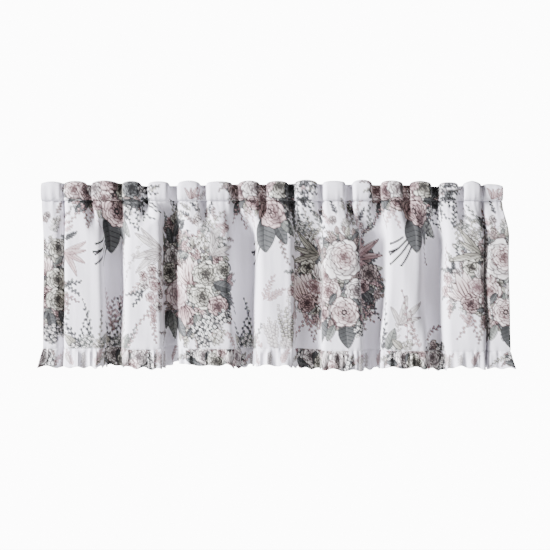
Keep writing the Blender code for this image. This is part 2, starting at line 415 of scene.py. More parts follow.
class Print:
    """The print on the flat cloth, painted in order on a grid of points. Places are in mm: u
    from the left edge of the cloth and v up from the line of the rod."""

    def __init__(self, seed, box):
        left, right, low, high = box
        self.u = np.arange(left, right, PRINT_STEP)
        self.v = np.arange(low, high, PRINT_STEP)
        self.colour = np.tile(np.array(GROUND), (len(self.u), len(self.v), 1))
        self.random = np.random.default_rng(seed)

    def about(self, centre, reach, turn):
        """The part of the grid near the centre, and its places in axes turned so far."""
        us = slice(*np.searchsorted(self.u, (centre[0] - reach, centre[0] + reach)))
        vs = slice(*np.searchsorted(self.v, (centre[1] - reach, centre[1] + reach)))
        x, y = self.u[us, None] - centre[0], self.v[None, vs] - centre[1]
        c, s = math.cos(math.radians(turn)), math.sin(math.radians(turn))
        return (us, vs), x * c + y * s, y * c - x * s

    def lay(self, part, inside, colour, strength=1.0):
        """Paints where inside, a distance in mm, is above 0."""
        cover = np.clip(inside / EDGE + 0.5, 0, 1)[..., None] * strength
        self.colour[part] += (np.asarray(colour) - self.colour[part]) * cover

    def uneven(self, spread):
        return self.random.uniform(-spread, spread)

    def petal(self, base, reach, width, turn, tone, depth=0.0):
        """A round petal from its base, dark beyond its rim and drawn with fine dark lines."""
        deep = TONES[tone][2]
        part, x, y = self.about(base, reach * 1.2 + 2, turn)
        rim = np.arctan2(y, x - 0.6 * reach)
        edge = 1 + 0.07 * np.sin(4 * rim + turn) + 0.05 * np.sin(7 * rim + 2 * turn)
        half_long, half_wide = 0.44 * reach, 0.5 * width
        round_ = np.hypot((x - 0.58 * reach) / half_long, y / half_wide)
        inside = (edge - round_) * min(half_long, half_wide)
        self.lay(part, inside + 1.2 + 0.022 * reach + self.uneven(0.6), deep, 0.9)
        share = np.clip((x / reach - 0.12) * 1.35, 0, 1) - depth
        lines = np.abs(np.sin(y / half_wide * 3.8 + turn)) > 0.86
        share = share - 0.45 * (lines & (share < 0.62))
        self.lay(part, inside, toned(tone, share + self.uneven(0.08)))

    def rose(self, at, size, turn, tone, rings=ROSE_RINGS):
        """A full flower, whose rings of petals are laid from the outside in, with soft shade in
        its heart and on its lower side."""
        part, x, y = self.about(at, size * 1.2, 0)
        self.lay(part, 0.9 * size - np.hypot(x, y), TONES[tone][2], 0.9)
        for k, (reach, count, width) in enumerate(rings):
            start = turn + 40 * k
            for i in range(count):
                angle = start + 360 * (i + self.uneven(0.16)) / count
                out = size * reach * self.random.uniform(0.9, 1.08)
                self.petal(at, out, size * width * reach**0.3, angle, tone, 0.10 * k)
        self.lay(part, 0.05 * size - np.hypot(x, y), TONES[tone][2], 0.8)
        heart = np.exp(-((x**2 + y**2) / (0.40 * size) ** 2))
        below = np.exp(-((x - 0.5 * size) ** 2 + (y + 0.62 * size) ** 2) / (0.42 * size) ** 2)
        shade = 0.46 * heart + 0.40 * below * (np.hypot(x, y) < 0.95 * size)
        self.colour[part] = mixed(self.colour[part], TONES[tone][2], shade)

    def bloom(self, at, size, turn, tone):
        """A small flower of three rings."""
        self.rose(at, size, turn, tone, ((1.0, 5, 0.95), (0.66, 4, 0.72), (0.36, 3, 0.42)))

    def eyed(self, at, size, turn, tone):
        """An open flower with a dark eye and stamens."""
        self.rose(at, size, turn, tone, ROSE_RINGS[:4])
        part, x, y = self.about(at, size * 0.5, turn)
        away, round_ = np.hypot(x, y), np.arctan2(y, x)
        self.lay(part, size * (0.23 + 0.07 * np.sin(round_ * 7)) - away, INK, 0.9)
        self.lay(part, size * 0.09 - away, TONES[tone][1], 0.9)
        for i in range(9):
            self.dot(at + polar(size * 0.27, 40 * i + turn), 1.7, tone)

    def leaf(self, at, size, turn, tone, width=0.44, bend=0.1, veins=6, ink=0.8, lines=0):
        """A leaf or a pointed petal from its base to its tip."""
        light, middle, deep = TONES[tone]
        part, x, y = self.about(at, size * 1.15 + 2, turn)
        s = np.clip(x / size, 0, 1)
        y = y - bend * size * s * s
        half = 0.5 * width * size * np.sin(math.pi * s**0.8) ** 0.8
        inside = np.where((x > 0) & (x < size), half - np.abs(y), -FAR)
        if ink:
            self.lay(part, inside + 1.3, deep, ink)
        share = np.where(y > 0, 0.62, 0.36) + 0.35 * s - 0.1
        if lines:
            drawn = np.abs(np.sin(lines * y / (width * size))) > 0.85
            share = 0.25 + 0.9 * s - 0.5 * (drawn & (s < 0.7))
        self.lay(part, inside, toned(tone, share))
        if veins:
            rib = np.abs((s * veins - 1.5 * np.abs(y) / (width * size)) % 1 - 0.5)
            self.lay(part, np.where(inside > 0.5, (0.08 - rib) * size / veins, -FAR), deep, 0.45)
            middle_line = np.where(inside > 0.3, 0.5 - np.abs(y), -FAR)
            self.lay(part, middle_line, light if tone == "slate" else deep, 0.8)

    def broad(self, at, size, turn, tone):
        self.leaf(at, size, turn, tone, 0.62, 0.06, 7)

    def lily(self, at, size, turn, tone):
        """A few slim pointed leaves that arch away from one place."""
        for step in (-1.5, 1.5, -0.6, 0.6):
            reach = size * self.random.uniform(0.75, 1.15)
            turned = turn + 22 * step + self.uneven(8)
            self.leaf(at, reach, turned, tone, 0.19, 0.14 * step, 2, 0.9)

    def fan(self, at, size, turn, tone):
        """A flower of long petals, seen from its side."""
        for step in (-3.2, 3.1, -2.2, 2.4, -1.5, 1.5, -0.7, 0.6, 0):
            reach = size * self.random.uniform(0.8, 1.1) * (1 - 0.08 * abs(step))
            turned = turn + 19 * step + self.uneven(6)
            self.leaf(at, reach, turned, tone, 0.34, -0.05 * step, 0, 0.85, 8)

    def cluster(self, at, size, turn, tone):
        """Small open flowers, leaves and buds along a drooping spray."""
        self.sprig(at, 1.25 * size, turn, tone, 13, 0.2 * size, 0.08, slim=0.3)
        for k in range(5):
            place = at + polar(size * k / 5, turn) + polar(size * 0.17 * (-1) ** k, turn + 90)
            reach = size * 0.15 * self.random.uniform(0.8, 1.2)
            self.bloom(place, reach, 50 * k, ("ivory", tone)[k % 2])

    def stem(self, at, size, turn, tone, bend):
        part, x, y = self.about(at, size * 1.25, turn)
        s = np.clip(x / size, 0, 1)
        away = np.where((x > 0) & (x < size), np.abs(y - bend * size * s * s), FAR)
        self.lay(part, 0.55 - away, TONES[tone][2], 0.7)

    def sprig(
        self, at, size, turn, tone, count=10, leaf=9.0, bend=0.22, dotted=False, slim=0.4
    ):
        """A curved stem with a leaf or a bud on either side in turn."""
        self.stem(at, size, turn, tone, bend)
        for i in range(count):
            s = (i + 1) / count
            place = at + polar(s * size, turn) + polar(bend * size * s * s, turn + 90)
            tilt = turn + math.degrees(math.atan(2 * bend * s))
            tilt += 44 * (1 if i % 2 else -1) if i < count - 1 else 0
            reach = leaf * (1.15 - 0.45 * s) * self.random.uniform(0.8, 1.2)
            if dotted:
                self.dot(place + polar(reach * 0.5, tilt), reach * 0.32, tone)
            else:
                self.leaf(place, reach, tilt, tone, slim, 0.0, 0, 0.6)

    def fern(self, at, size, turn, tone):
        self.sprig(at, size, turn, tone, 11, 13, -0.2, slim=0.26)

    def spire(self, at, size, turn, tone):
        """A tall stem of small flowers."""
        for step in (-0.5, 0.5, 0):
            self.sprig(at, size * (1 - 0.3 * abs(step)), turn + 26 * step, tone, 15, 11, 0.05, True)

    def buds(self, at, size, turn, tone):
        """Two short sprays of buds and small leaves."""
        self.sprig(at, size, turn - 14, tone, 9, 8, -0.15, True)
        self.sprig(at, size * 0.9, turn + 12, tone, 8, 9, 0.15)

    def dot(self, at, size, tone):
        light, middle, deep = TONES[tone]
        part, x, y = self.about(at, size + 3, 0)
        away = np.hypot(x, y)
        self.lay(part, size + 1.0 - away, deep, 0.7)
        self.lay(part, size - away, mixed(middle, light, np.clip(0.5 + (y - x) / (2 * size), 0, 1)))

    def florets(self, at, size, turn, tone):
        """A head of small white flowers with dark gaps."""
        part, x, y = self.about(at, size * 1.3, 0)
        uneven = 1 + 0.22 * np.sin(5 * np.arctan2(y, x) + turn)
        self.lay(part, 0.9 * size * uneven - np.hypot(x, y), TONES[tone][1], 0.8)
        count = max(5, int(size * size / 30))
        for i in range(count):
            self.leaf(at, size * self.random.uniform(0.6, 1.2), 137.5 * i, tone, 0.3, 0.2, 0, 0.7)
        for i in range(count):
            place = at + polar(size * math.sqrt((i + 0.3) / count), math.degrees(GOLDEN_TURN * i))
            part, x, y = self.about(place, 8, self.random.uniform(0, 70))
            away, round_ = np.hypot(x, y), np.arctan2(y, x)
            petals = self.random.uniform(3.8, 5.4) * (0.74 + 0.26 * np.cos(5 * round_)) - away
            self.lay(part, petals + 0.8, TONES[tone][2], 0.8)
            self.lay(part, petals, TONES["ivory"][0])
            self.lay(part, 1.1 - away, TONES[tone][2], 0.8)

    def twig(self, at, size, turn, tone):
        """A bare dark twig with a bud at its tip."""
        part, x, y = self.about(at, size * 1.2, turn)
        s = np.clip(x / size, 0, 1)
        away = np.where((x > 0) & (x < size), np.abs(y - 0.05 * size * np.sin(3 * s)), FAR)
        self.lay(part, 2.2 - away, INK, 0.95)
        self.lay(part, 3.0 - np.hypot(x - size, y), INK, 0.95)

    def bed(self, at, wide, high, spacing, dark):
        """Leaves, small flowers and buds that fill an oval, the outermost laid first, and thin
        sprigs round its rim. What isn't dark is looser, with the ground between."""
        part, x, y = self.about(at, max(wide, high), 0)
        waves = 1 + 0.10 * np.sin(5 * np.arctan2(y, x)) + 0.07 * np.sin(9 * np.arctan2(y, x) + 1)
        inside = (0.86 * waves - np.hypot(x / wide, y / high)) * min(wide, high)
        self.lay(part, inside, INK, dark)
        count = int(math.pi * wide * high / spacing**2 * (1 if dark else 0.55))
        for k in range(2 * count if dark else 0):
            out = math.sqrt((k + 0.5) / (2 * count))
            round_ = GOLDEN_TURN * k + 1
            offset = out * np.array((wide * math.cos(round_), high * math.sin(round_)))
            under = ("slate", "sage", "taupe", "olive")[k % 4]
            self.leaf(at + offset, 1.3 * spacing, 360 * self.random.random(), under, 0.5, 0.1, 4)
        fillers = FILLERS if dark else LOOSE_FILLERS
        for k in reversed(range(count)):
            out = math.sqrt((k + 0.5) / count)
            angle = GOLDEN_TURN * k
            offset = np.array((wide * out * math.cos(angle), high * out * math.sin(angle)))
            heading = math.degrees(math.atan2(offset[1], offset[0])) + self.uneven(38)
            if out > 0.93 or not dark and k % 3:
                thin = ("sage", "taupe", "olive", "rosy", "slate")[k % 5]
                self.sprig(at + 0.9 * offset, 2.0 * spacing, heading, thin, 8, 8)
                continue
            kind, tone, share = fillers[k % len(fillers)]
            size = spacing * share * self.random.uniform(0.85, 1.15)
            getattr(self, kind)(at + offset, size, heading, tone)

    def read(self, u, v):
        """The colours at these places of the cloth, which lie between the points."""
        across = np.clip((u - self.u[0]) / PRINT_STEP, 0, len(self.u) - 1.001)
        up = np.clip((v - self.v[0]) / PRINT_STEP, 0, len(self.v) - 1.001)
        i, j = across.astype(int), up.astype(int)
        s, t = (across - i)[..., None], (up - j)[..., None]
        low = self.colour[i, j] * (1 - s) + self.colour[i + 1, j] * s
        high = self.colour[i, j + 1] * (1 - s) + self.colour[i + 1, j + 1] * s
        return low * (1 - t) + high * t


# The bouquets. After the name of a kind follow its rows, each with its place, in mm from the
# middle line of the bouquet and from the line of the rod. A bed, which is an oval of dense leaves
# and flowers, has its half sizes, spacing and darkness after that, everything else its size,
# direction and tone. They are laid in this order.
BOUQUETS = {
    # The full bouquet, round a blush rose
    "full": """
    bed 0 -86 104 44 15 0, -118 -212 50 92 15 0, 8 -222 128 104 17 0.5, 16 -140 62 42 16 0.5;
    sprig -98 -112 66 84 olive, -70 -92 58 98 sage, 34 -84 58 66 olive, -24 -84 48 104 rosy;
    buds 100 -88 56 62 sage, 64 -70 52 84 rosy; sprig -138 -64 62 262 olive;
    florets -122 -84 16 0 sage; sprig -150 -90 52 70 slate; florets -104 -112 17 30 olive,
    -134 -128 12 30 sage; lily -80 -150 80 174 olive, 58 -158 76 18 dusk;
    bloom -106 -178 19 70 olive; leaf -92 -200 40 210 sage, 62 -196 46 -8 slate,
    84 -232 44 -48 slate; cluster -152 -190 74 262 rosy; fan -112 -250 66 112 blush,
    -76 -206 42 84 ivory; rose -92 -224 20 20 rosy, -108 -262 21 70 dusk, -66 -254 20 50 blush;
    buds -104 -284 66 262 dusk, -80 -292 58 284 taupe; rose 104 -192 22 40 taupe;
    bloom 88 -222 17 40 dusk; buds 104 -246 70 282 slate, 76 -262 66 296 dusk;
    leaf -36 -292 62 258 slate, 40 -300 52 306 sage; broad 18 -304 62 272 slate;
    leaf -10 -312 40 240 sage; rose -28 -232 29 40 blush, 38 -232 26 10 ivory,
    -34 -196 22 10 blush; leaf -42 -130 38 120 slate, 44 -128 36 30 sage; rose 4 -160 45 10 ivory,
    9 -154 28 60 blush; leaf -8 -238 30 230 slate, 28 -250 28 320 slate; eyed 12 -282 33 30 blush;
    bloom -42 -284 18 60 dusk; florets 52 -322 17 0 slate
    """,
    # The bouquet round a flower with long petals
    "long": """
    bed 22 -90 74 50 15 0, 8 -225 88 118 17 0.55, -60 -140 34 88 16 0.35;
    sprig -62 -86 66 84 olive, -40 -78 60 100 slate, 12 -96 66 78 faint; buds 44 -92 62 62 olive;
    sprig 66 -110 66 48 rosy; leaf -62 -104 42 60 slate, -70 -122 40 100 slate;
    florets 22 -118 18 0 olive, 54 -132 19 20 sage; cluster -134 -184 62 214 blush,
    -128 -206 78 254 rosy; sprig -140 -282 66 262 dusk; buds -144 -262 58 256 dusk,
    -166 -232 46 214 slate; rose -64 -152 24 10 ivory, -76 -188 22 50 olive, -44 -176 17 50 taupe;
    leaf -72 -278 44 250 slate; rose -46 -240 37 30 rosy; leaf -66 -284 62 278 sage,
    -44 -290 58 296 slate; fan -2 -216 68 92 blush, -22 -268 44 284 dusk;
    leaf 40 -110 40 30 faint; lily 44 -150 52 40 faint; rose 32 -194 31 70 olive;
    leaf 50 -214 56 338 slate; rose 24 -246 28 10 olive, 72 -184 19 10 olive;
    leaf 66 -236 50 318 slate, 36 -272 46 318 sage, 10 -286 44 286 sage; rose 62 -268 23 0 dusk;
    florets 44 -308 24 0 slate, 78 -292 17 30 slate, 18 -322 18 60 slate;
    buds 98 -236 56 276 slate, -80 -330 44 200 taupe; sprig 84 -322 48 288 rosy,
    -8 -334 42 252 olive; florets 30 -348 19 0 slate, 60 -340 18 30 olive
    """,
    # The bouquet that hangs from the top, with a bare twig
    "top": """
    bed 10 18 152 58 17 0, -12 12 122 58 17 0.7; twig -20 -114 74 229 slate,
    -26 -110 58 221 slate, -16 -122 58 243 slate, -38 -108 34 207 slate, -46 -132 30 200 slate;
    leaf 20 -66 64 286 slate; broad -8 -62 82 268 slate; leaf 34 -58 62 300 sage;
    sprig 30 -110 60 276 taupe; leaf 60 -22 52 342 slate, -66 -20 56 206 slate;
    buds 52 -46 60 292 slate, 84 -28 62 300 slate, 112 -4 62 288 slate, -88 -26 62 252 dusk,
    -58 -34 56 264 rosy; rose -112 8 24 0 blush, -78 6 26 0 dusk, -40 12 32 0 ivory,
    42 16 30 0 olive, 80 12 24 0 slate, 4 30 29 0 dusk, -14 -14 20 60 blush;
    eyed 14 -48 37 60 dusk; bloom -46 -26 18 60 dusk; leaf 44 -16 36 330 slate;
    buds 112 16 52 20 slate, 118 6 50 -30 slate; florets 108 14 16 0 slate, 66 -46 14 0 slate
    """,
    # The narrow bouquet at the left edge
    "edge": """
    bed 20 -86 50 46 15 0, 14 -228 50 104 16 0.7; lily 66 -142 66 -14 rosy;
    sprig 66 -110 30 10 slate; buds 66 -216 44 -12 slate, 64 -236 46 -50 dusk;
    rose 34 -132 22 40 olive; fan 0 -196 46 100 blush; rose 32 -206 25 10 olive,
    6 -246 24 70 dusk, 34 -252 26 70 olive; leaf 16 -282 44 280 slate, 40 -278 40 300 slate;
    florets 20 -330 22 0 slate, 56 -322 18 30 slate
    """,
    # Painted light: pale florets laid over the dark print in the shaded narrow fold near the right
    # end, so that the fold looks lighter
    "painted_light_fold": """
    florets 0 -112 20 0 faint, 4 -142 20 10 faint, -2 -172 20 20 faint, 4 -202 20 30 faint,
    -2 -232 20 0 faint, 4 -262 20 10 faint, 0 -292 20 20 faint, 4 -318 18 30 faint
    """,
    # Sprigs that stand on the hem
    "hem": """
    buds -14 -368 66 104 slate; sprig 10 -368 92 84 sage, 24 -368 84 70 olive,
    -10 -368 72 112 slate, 4 -368 112 84 slate, 44 -368 60 52 sage; leaf 30 -368 44 50 sage,
    -22 -366 44 126 olive; florets 2 -350 17 0 sage, 30 -358 13 0 olive, -26 -362 12 0 slate
    """,
    # Low sprigs on the hem, and a spray that hangs
    "low": """
    fern -24 -348 66 38 dusk; rose 18 -372 22 0 taupe; florets -8 -368 15 0 slate,
    44 -366 14 0 slate; sprig -40 -368 60 100 rosy, 66 -122 84 258 rosy
    """,
    # Ferns on the open ground, pale arching leaves, a pale spire and tall slim sprigs
    "ferns": """
    fern -20 -336 112 74 dusk, -14 -330 74 100 taupe, -6 -300 84 80 rosy, -18 -296 66 118 rosy;
    sprig 20 -330 60 66 taupe, 30 -368 70 84 dusk, 46 -368 52 40 rosy
    """,
    "arcs": """
    lily 64 -138 70 172 faint, 62 -148 46 214 faint; sprig 18 -122 104 232 faint
    """,
    "spire": """
    spire 44 -368 118 88 faint, 46 -368 92 92 olive, 12 -368 70 98 faint;
    sprig -18 -368 52 118 rosy, 74 -368 62 72 rosy; fern -18 -256 58 78 rosy, -10 -256 46 44 rosy;
    florets 40 -356 15 0 faint
    """,
    "long_leaves": """
    sprig -24 -368 112 82 slate; lily 12 -312 66 72 faint; fern 6 -368 92 92 faint;
    sprig 34 -368 132 88 dusk, 44 -368 84 84 taupe; leaf -14 -368 52 66 sage;
    buds -24 -370 44 110 slate; florets 12 -362 12 0 sage, 34 -358 13 0 olive;
    leaf 22 -368 34 130 olive
    """,
    # Pale sprigs on the pocket
    "pale": """
    lily -8 -16 36 70 rosy; sprig 6 -20 44 58 rosy, 14 -14 30 20 faint
    """,
    # Sprigs behind the rod, above the bouquets of the top
    "crest": """
    sprig -30 62 54 64 olive; buds 20 60 50 96 slate; florets 60 74 16 0 sage;
    rose -60 84 18 0 blush
    """,
    # The bouquets of the ruffle's strip
    "pale_strip": """
    sprig -30 -40 42 104 rosy, 6 -6 38 250 faint; fern 34 -38 38 70 rosy;
    leaf -52 -10 24 300 faint
    """,
    "strip": """
    bed 0 -20 96 34 14 0.6; sprig 92 -30 48 14 rosy, -92 -12 48 192 olive, 130 -12 30 250 faint;
    florets -84 -18 17 0 slate, 86 -26 17 0 slate; leaf -70 -34 34 160 slate;
    rose -54 -14 22 20 ivory; leaf -40 -4 34 262 slate; rose -20 -28 24 40 olive;
    fan 20 -36 36 84 ivory; leaf 34 -8 32 300 sage; rose 60 -16 23 0 ivory;
    bloom 44 -36 15 0 blush, -2 -6 14 0 blush
    """,
}
# Bouquets on the cloth, each with the places along it where it stands, in mm
PLACES = (
    ("ferns", 226), ("arcs", 296), ("hem", 122, 232, 650), ("spire", 742),
    ("long_leaves", 1166), ("low", 1268), ("edge", 0), ("long", 486), ("full", 966, 1500),
    ("top", 212, 735, 1214, 1690), ("pale", 490, 1500), ("crest", 212, 735, 1214, 470, 980),
    # The pale florets at 1452 are painted light in the shaded fold near the right end
    ("painted_light_fold", 1452),
)
# The ruffle's own strip of cloth: its box, its bouquets, and mm of print to a metre of panel
RUFFLE_BOX = (-14, 1860, -56, 12)
RUFFLE_PLACES = (
    ("pale_strip", 138, 470, 890, 1284, 1640), ("strip", -66, 314, 671, 1098, 1483, 1910),
)
RUFFLE_PRINT = 1200
PRINT_SEED = 5


@functools.cache
def printed(box, places):
    """The print on one cut of cloth, which is painted only once."""
    cloth = Print(PRINT_SEED, box)
    for bouquet, *middles in places:
        for middle, run in itertools.product(middles, BOUQUETS[bouquet].split(";")):
            kind, rows = run.split(maxsplit=1)
            for row in rows.split(","):
                u, v, *rest = row.split()
                values = [word if word in TONES else float(word) for word in rest]
                getattr(cloth, kind)(np.array((middle + float(u), float(v))), *values)
    return cloth


# The weave, whose threads are unevenly thick and dark
SLUB_SCALE = (900, 60, 1)
DARKEST_SLUB, LIGHTEST_SLUB = 0.78, 0.84  # shares of the print's colour
WEAVE_DEPTH = 0.0002

# The cloth pieces, each a grid of points with rows down and columns across
PANEL_GRID = (148, 640)
POCKET_GRID = (46, 760)
RUFFLE_GRID = (20, 1500)  # without the rows of its turned hem
CRISPNESS = 0.6  # how far the colour of a point is pushed away from its neighbours' mean
PRINT_DEPTH = 1.34  # power that deepens the print against its ground
# Sharper folds of the ruffle
FOLD_LENGTH = 0.0610
FOLD_DEPTH = 0.0052
FOLD_START = 0.30
FOLD_OPENS = 0.35  # how far down the ruffle they are fully open, as a share of its height
RUFFLE_SCALLOP = 0.0032  # how far the edge rises and falls with its folds
# How much lower than the hem of the panel says the edge of the ruffle hangs: mm across, mm lower
EDGE_LEVELS = (
    (-370, 2), (-328, 0), (-273, 4), (-245, 6), (-232, 0), (-215, -6), (-196, -2), (-171, -5),
    (-141, -1), (-111, -6), (-92, 3), (-72, 2), (-44, -2), (5, -3), (18, 0), (32, -3), (46, 2),
    (74, 5), (102, 5), (115, 1), (143, 3), (178, 4), (212, 5), (240, 4), (254, -3), (310, -1),
    (337, -3), (365, 3), (393, 5), (407, -1), (420, -7), (448, -6), (462, -2),
)


def panel_surface(u, z, hem):
    """The panel's x and y, with the puckers beside both rows of stitches."""
    x, y = panel_at(u, z)
    hanging = smooth(SEAM - z, 0.0, SWAYS_FROM) * smooth(z - hem, -0.001, SWAYS_TO)
    out = ripples(PUCKERS, u, np.abs(SEAM - z)) + ripples(GATHERS_AT_SEAM, u, np.abs(z - hem))
    out = out + hanging * swayed(u, z) - groove(np.abs(SEAM - z)) - groove(np.abs(z - hem))
    out_x, out_y = outward(x, y)
    return x + out * out_x, y + out * out_y


def panel_grid():
    rows, columns = PANEL_GRID
    u = np.linspace(0, FLAT_WIDTH, columns)[None, :]
    hem = hem_height(u)
    z = SEAM + (hem - SEAM) * np.linspace(0, 1, rows)[:, None]
    u = np.broadcast_to(u, z.shape)
    x, y = panel_surface(u, z, hem)
    return np.stack([x, y, z], axis=-1), u, z


def pocket_grid():
    """The pocket from the seam behind it, up its back, over its top and down its front."""
    u = np.linspace(0, FLAT_WIDTH, POCKET_GRID[1])
    x, y = along(PATHS[0], u)
    centres = [(g.left + g.right) / 2 / MM for g in GATHERS]
    crown = np.interp(x, centres, [g.crown / MM for g in GATHERS])
    dips = [(a.right + b.left) / 2 / MM for a, b in zip(GATHERS, GATHERS[1:])]
    sink = np.interp(x, dips, [g.sink / MM for g in GATHERS[:-1]])
    face = np.interp(x, centres, [-POCKET_FACE - g.forward / MM for g in GATHERS])
    recess = smooth(y, face, face + POCKET_FACE)
    marks = np.concatenate([(g.left, (g.left + g.right) / 2, g.right) for g in GATHERS]) / MM
    crown = crown - POCKET_ARCH * np.interp(x, marks, [1, 0, 1] * len(GATHERS)) ** 2
    out_x, out_y = outward(x, y)
    angles = np.radians(np.linspace(270, -90, POCKET_GRID[0]))
    power = 2 / np.where(np.sin(angles) < 0, *POCKET_SQUARENESS)
    knots = np.arange(-2, len(POCKET_FOLLOWS) - 1)
    follows = np.interp(angles / (math.pi / 4), knots, np.take(POCKET_FOLLOWS, knots))
    across = np.sign(np.cos(angles)) * np.abs(np.cos(angles)) ** power
    up = np.sign(np.sin(angles)) * np.abs(np.sin(angles)) ** power
    across[[0, -1]], up[[0, -1]] = 0, -1
    section = np.stack([-POCKET_HALF_DEPTH * across, POCKET_HALF_HEIGHT * up], axis=1)
    walked = lengths(section)
    from_seam = np.minimum(walked, walked[-1] - walked)
    rows = []
    for k, share in enumerate(follows):
        height = np.full_like(x, POCKET_HALF_HEIGHT if up[k] > 0 else -SEAM)
        if up[k] > 0:
            height = height + crown - POCKET_SINKS * sink * recess
        out = ripples(PUCKERS, u, from_seam[k]) - groove(from_seam[k])
        row_y = y * share - POCKET_HALF_DEPTH * across[k]
        rows.append(np.stack([x + out * out_x, row_y + out * out_y, height * up[k]], axis=-1))
    v = SEAM + walked[-1] - walked
    return np.array(rows), *np.broadcast_arrays(u[None, :], v[:, None])


def sharp_folds(u):
    """Folds of the ruffle with narrow crests and wide hollows."""
    phase = swung((u + FOLD_START) / FOLD_LENGTH, u, *FOLD_SWINGS)
    size = swung(1 - FOLD_SIZE_SWING.size, u, FOLD_SIZE_SWING)
    return FOLD_DEPTH * size * (0.5 - np.abs(np.sin(math.pi * phase)) ** 0.8)


def ruffle_grid():
    """The ruffle from its seam to its edge, which is turned up behind it."""
    rows, columns = RUFFLE_GRID
    u = np.linspace(0, FLAT_WIDTH, columns)
    top = hem_height(u)
    x, y = panel_surface(u[None, :], top[None, :], top[None, :])
    x, y = x[0], y[0]
    out_x, out_y = outward(x, y)
    ends = np.exp(-u / FLARE_REACH) - np.exp(-(FLAT_WIDTH - u) / FLARE_REACH)
    level = np.interp(x, *np.transpose(EDGE_LEVELS) / MM)
    turned = [0.995, 1 - HEM_TURN / RUFFLE_DROP / 3, 1 - HEM_TURN / RUFFLE_DROP]
    steps = [*np.linspace(0, 1, rows), *turned]
    points = []
    for k, down in enumerate(steps):
        wave = RUFFLE_DEPTH * gather_wave(u) * down**RUFFLE_OPENS
        wave = wave + sharp_folds(u) * smooth(down, 0, FOLD_OPENS)
        wave = wave + ripples(GATHERS_AT_SEAM, u, down * RUFFLE_DROP)
        wave = wave - ripples(GATHERS_AT_SEAM, u, 0) * (down == 0)
        wave = wave + groove(0) - groove(down * RUFFLE_DROP)
        if k >= rows:
            wave = wave - HEM_LAYER
        row_x = x + out_x * wave - RUFFLE_FLARE * ends * down
        scallop = RUFFLE_SCALLOP * down**2 * gather_wave(u + FOLD_START)
        row_z = top - RUFFLE_DROP * down + scallop - level * down**2
        points.append(np.stack([row_x, y + out_y * wave, row_z], axis=-1))
    v = -RUFFLE_DROP * np.array(steps)[:, None]
    return np.array(points), *np.broadcast_arrays(u[None, :], v)


def linear(colour):
    """Linear shares of an sRGB colour."""
    colour = np.clip(colour, 0, 1)
    return np.where(colour <= 0.04045, colour / 12.92, ((colour + 0.055) / 1.055) ** 2.4)


def crisp(colours):
    """The colours of a grid with the softening between its points made up for."""
    padded = np.pad(colours, ((1, 1), (1, 1), (0, 0)), mode="edge")
    mean = padded[:-2, 1:-1] + padded[2:, 1:-1] + padded[1:-1, :-2] + padded[1:-1, 2:]
    return colours + CRISPNESS * (colours - mean / 4)


def cloth_piece(name, grid, flat_u, flat_v, colours, material):
    """One layer of cloth, with its flat places in metres as UV map and its print as attribute."""
    rows, columns = grid.shape[:2]
    index = np.arange(rows * columns).reshape(rows, columns)
    corners = (index[:-1, :-1], index[1:, :-1], index[1:, 1:], index[:-1, 1:])
    quads = np.stack(corners, axis=-1).reshape(-1, 4)
    mesh = bpy.data.meshes.new(name)
    mesh.from_pydata(grid.reshape(-1, 3).tolist(), [], quads.tolist())
    mesh.update()
    mesh.shade_smooth()
    flat = np.stack([flat_u, flat_v], axis=-1).reshape(-1, 2)
    uv = mesh.uv_layers.new(name="flat cloth")
    uv.data.foreach_set("uv", flat[quads.ravel()].astype(np.float32).ravel())
    tint = mesh.attributes.new("print", "FLOAT_COLOR", "POINT")
    rgba = np.ones((rows * columns, 4), np.float32)
    light = linear(np.array(GROUND))
    rgba[:, :3] = (light * (linear(crisp(colours)) / light) ** PRINT_DEPTH).reshape(-1, 3)
    tint.data.foreach_set("color", rgba.ravel())
    mesh.materials.append(material)
    obj = bpy.data.objects.new(name, mesh)
    bpy.context.scene.collection.objects.link(obj)
    return obj


def feed(node, given):
    """Gives inputs of the node a value each, or the output that feeds it."""
    for name, value in given.items():
        if isinstance(value, bpy.types.NodeSocket):
            node.id_data.links.new(value, node.inputs[name])
        else:
            node.inputs[name].default_value = value


def node_of(tree, kind, at, given=None, **values):
    """A new node with these settings, whose inputs are given values or outputs."""
    node = tree.nodes.new(kind)
    node.location = at
    for name, value in values.items():
        setattr(node, name, value)
    feed(node, given or {})
    return node


def math_of(tree, at, operation, *terms):
    """The output of a new math node."""
    terms = dict(enumerate(terms))
    return node_of(tree, "ShaderNodeMath", at, terms, operation=operation).outputs[0]


def group_of(name, kind, inputs, outputs):
    """An empty node group with these sockets, the outputs of its first node and its last node."""
    group = bpy.data.node_groups.new(name, kind)
    for way, sockets in (("INPUT", inputs), ("OUTPUT", outputs)):
        for label, socket in sockets.items():
            group.interface.new_socket(label, in_out=way, socket_type=f"NodeSocket{socket}")
    given = node_of(group, "NodeGroupInput", (-1100, 0)).outputs
    return group, given, node_of(group, "NodeGroupOutput", (900, 0))


def new_material(name):
    """A new material and its shader."""
    material = bpy.data.materials.new(name)
    material.use_nodes = True
    return material, material.node_tree.nodes["Principled BSDF"]


def plain_material(name, colour, roughness):
    if name not in bpy.data.materials:
        _, shader = new_material(name)
        feed(shader, {"Base Color": (*colour, 1), "Roughness": roughness})
    return bpy.data.materials[name]


